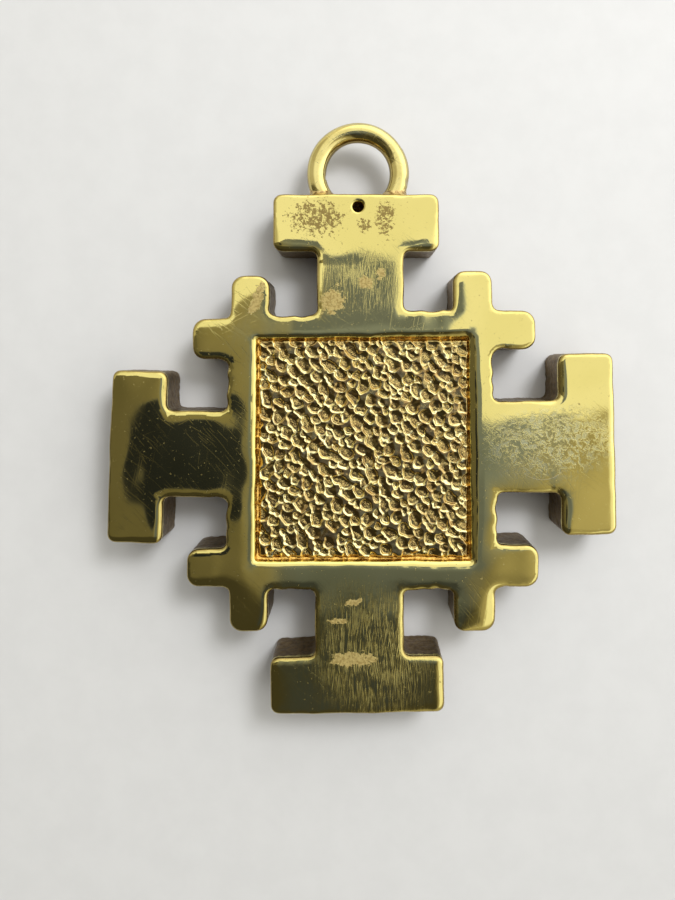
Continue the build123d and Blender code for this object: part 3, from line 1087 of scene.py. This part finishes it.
def wire_brass():
    s = Shader("buffed_wire_brass")
    scratch = s.largest([s.scratches(35, 0.35, 5, 5.0), s.scratches(-50, 0.35, 4, 15.0)])
    colour = s.mix(s.between(s.grain(4.0), 0.4, 0.6), *WIRE_BRASSES)
    # Painted shade: brown laid on the wire below its top, standing for the dark reflection on its lower sides.
    above_middle = s.minus(s.height(), RING_CENTRE[2])
    colour = s.mix(s.between(above_middle, 1.25, 0.35, 0.0, 0.85), colour, BROWN_TARNISH_AND_SHADE)
    roughness = s.plus(s.between(s.grain(1.0, 3.0), 0.3, 0.7, 0.08, 0.14), s.times(scratch, 0.15))
    return s.finish(colour, roughness, s.minus(1.0, scratch), 0.004)


def brazing_metal():
    s = Shader("brazing_metal")
    rough = s.grain(0.6, detail=5.0, roughness=0.65)
    colour = s.mix(s.between(rough, 0.38, 0.6), *BRAZING_BROWNS)
    return s.finish(colour, s.between(rough, 0.3, 0.7, 0.22, 0.38), rough, 0.06)


def floor_paint():
    s = Shader("pale_floor")
    grain = s.grain(6.0)
    colour = s.mix(s.between(grain, 0.3, 0.7), *FLOOR_GREYS)
    return s.finish(colour, 0.7, grain, 0.01, metallic=0.0)


# ---------------------------------------------------------------- studio


FLOOR_HALF = 3.0
FLOOR_GAP = 0.00002


def make_floor():
    """A square floor, in metres, just under the body's back."""
    mesh = bpy.data.meshes.new("studio_floor")
    signs = ((-1, -1), (1, -1), (1, 1), (-1, 1))
    corners = [(x * FLOOR_HALF, y * FLOOR_HALF, -FLOOR_GAP) for x, y in signs]
    mesh.from_pydata(corners, [], [(0, 1, 2, 3)])
    mesh.materials.append(floor_paint())
    floor = bpy.data.objects.new("studio_floor", mesh)
    bpy.context.scene.collection.objects.link(floor)


def add_softbox(name, place, target, size, power):
    data = bpy.data.lights.new(name, "AREA")
    data.shape = "RECTANGLE"
    data.size, data.size_y = size[0] * MM, size[1] * MM
    data.energy = power
    light = bpy.data.objects.new(name, data)
    light.visible_glossy = False
    light.location = Vector(place) * MM
    light.rotation_euler = (Vector(target) - Vector(place)).to_track_quat("-Z", "Y").to_euler()
    bpy.context.scene.collection.objects.link(light)


# The room that the polished face mirrors, in slopes from straight up: U to the right and V to the top. A
# patch of it has changes: the slope, where the change begins and where it is complete.
U, V = range(2)
RIGHT_WINDOW = ((U, 0.115, 0.14), (V, -0.088, -0.079))
FAR_WINDOW = ((U, 0.44, 0.6), (V, -1.8, -0.9))
TOP_WINDOW_FOOT = (0.172, 0.182)
WINDOW_COLOUR = (1.0, 0.985, 0.92)
WARM_COLOUR = (1.0, 0.9, 0.64)
COOL_COLOUR = (0.85, 0.99, 1.45)

# The dim parts: brighter to the upper right, darker between the windows, a faint patch and a dark card.
RISE = ((U, -0.45, -0.15), (V, -0.4, 0.12))
SHADE = ((U, -0.14, -0.09), (U, 0.115, 0.095), (V, 0.0, 0.05))
PATCH = ((U, -0.22, -0.18), (U, -0.1, -0.16), (V, -0.40, -0.36), (V, -0.16, -0.24))
CARD_MIDDLE = (-0.2795, -0.1485)
CARD_HALVES = (0.0985, 0.1035)


def patch_of(sky, slopes, changes):
    """A mask that is 1 where all the changes are complete."""
    masks = [sky.between(slopes[axis], start, end) for axis, start, end in changes]
    result = masks[0]
    for mask in masks[1:]:
        result = sky.times(result, mask)
    return result


def windows(sky, slopes):
    """A mask of the bright windows. The top one's foot is higher on the left, where it fades."""
    raised = sky.plus(slopes[V], sky.between(slopes[U], -0.2, -0.1, 0.065, 0.0))
    top = sky.times(sky.between(raised, *TOP_WINDOW_FOOT), sky.between(slopes[U], -0.9, -0.3, 0.45, 1.0))
    return sky.largest([patch_of(sky, slopes, RIGHT_WINDOW), top, patch_of(sky, slopes, FAR_WINDOW)])


def dark_card(sky, slopes):
    """A mask of the card, a square with well rounded corners."""
    powers = []
    for slope, middle, half in zip(slopes, CARD_MIDDLE, CARD_HALVES):
        share = sky.math("ABSOLUTE", sky.math("DIVIDE", sky.minus(slope, middle), half))
        powers.append(sky.math("POWER", share, 3))
    return sky.between(sky.plus(*powers), 1.2, 0.8)


def dim_room(sky, slopes, card):
    """How bright the room is away from the windows."""
    u, v = slopes
    near = sky.between(v, -0.40, -0.355, 0.06, 0.145)
    light = sky.plus(near, sky.times(patch_of(sky, slopes, RISE), 0.18))
    right_side = sky.between(u, 0.14, 0.4, 0.0, 0.24)
    light = sky.plus(light, sky.times(right_side, sky.between(v, -0.12, -0.21, 0.75, 1.55)))
    light = sky.times(light, sky.between(patch_of(sky, slopes, SHADE), 0.0, 1.0, 1.0, 0.66))
    light = sky.plus(light, sky.times(patch_of(sky, slopes, PATCH), 0.1))
    return sky.times(light, sky.between(card, 0.0, 1.0, 1.0, 0.13))


def make_world():
    """A dim, cool room overhead, warmer to the left, with bright windows to the right and the top."""
    world = bpy.data.worlds.new("studio")
    world.use_nodes = True
    bpy.context.scene.world = world
    sky = Nodes(world.node_tree)
    background = sky.tree.nodes["Background"]
    way = sky.add("ShaderNodeSeparateXYZ", {0: sky.add("ShaderNodeTexCoord").outputs["Generated"]})
    up = sky.math("MAXIMUM", way.outputs[2], 0.04)
    u, v = (sky.math("DIVIDE", way.outputs[axis], up) for axis in (U, V))

    window = windows(sky, (u, v))
    card = dark_card(sky, (u, v))
    toward_lower_right = sky.minus(u, sky.times(v, 0.5))
    cool = sky.times(sky.between(u, -0.2, -0.06), sky.between(toward_lower_right, 0.42, 0.3))
    dim_colour = sky.mix(sky.math("MAXIMUM", cool, card), WARM_COLOUR, COOL_COLOUR)
    sky.put(background, {"Color": sky.mix(window, dim_colour, WINDOW_COLOUR)})

    window_light = sky.between(sky.plus(u, v), 0.4, 1.6, 1.12, 2.0)
    dim_light = sky.times(dim_room(sky, (u, v), card), sky.minus(1.0, window))
    sky.put(background, {"Strength": sky.plus(sky.times(window_light, window), dim_light)})


# The camera looks straight down from where the side walls point to, so its view is shifted to frame it.
CAMERA_PLACE = (-0.38, 13.8, 106.7)
CAMERA_LENS = 26.48
CAMERA_SHIFT = (-0.0261, -0.1022)


def make_camera():
    data = bpy.data.cameras.new("camera")
    data.sensor_width = 36
    data.lens = CAMERA_LENS
    data.shift_x, data.shift_y = CAMERA_SHIFT
    data.clip_start = 0.005
    camera = bpy.data.objects.new("camera", data)
    camera.location = Vector(CAMERA_PLACE) * MM
    bpy.context.scene.collection.objects.link(camera)
    bpy.context.scene.camera = camera


def main():
    make_camera()
    make_world()
    make_floor()
    add_softbox("key_upper_right", place=(160, 200, 300), target=(0, 0, 0), size=(120, 120), power=1.0)
    bpy.context.scene.view_settings.view_transform = "Standard"
    make_body([buffed_brass(), cast_wall_brass(), back_brass(), amber_brass()])
    make_panel([antiqued_brass()])
    make_bail([wire_brass()])
    brazing = brazing_metal()
    make_braze("braze_fillet_left", -1, [brazing])
    make_braze("braze_fillet_right", 1, [brazing])


main()
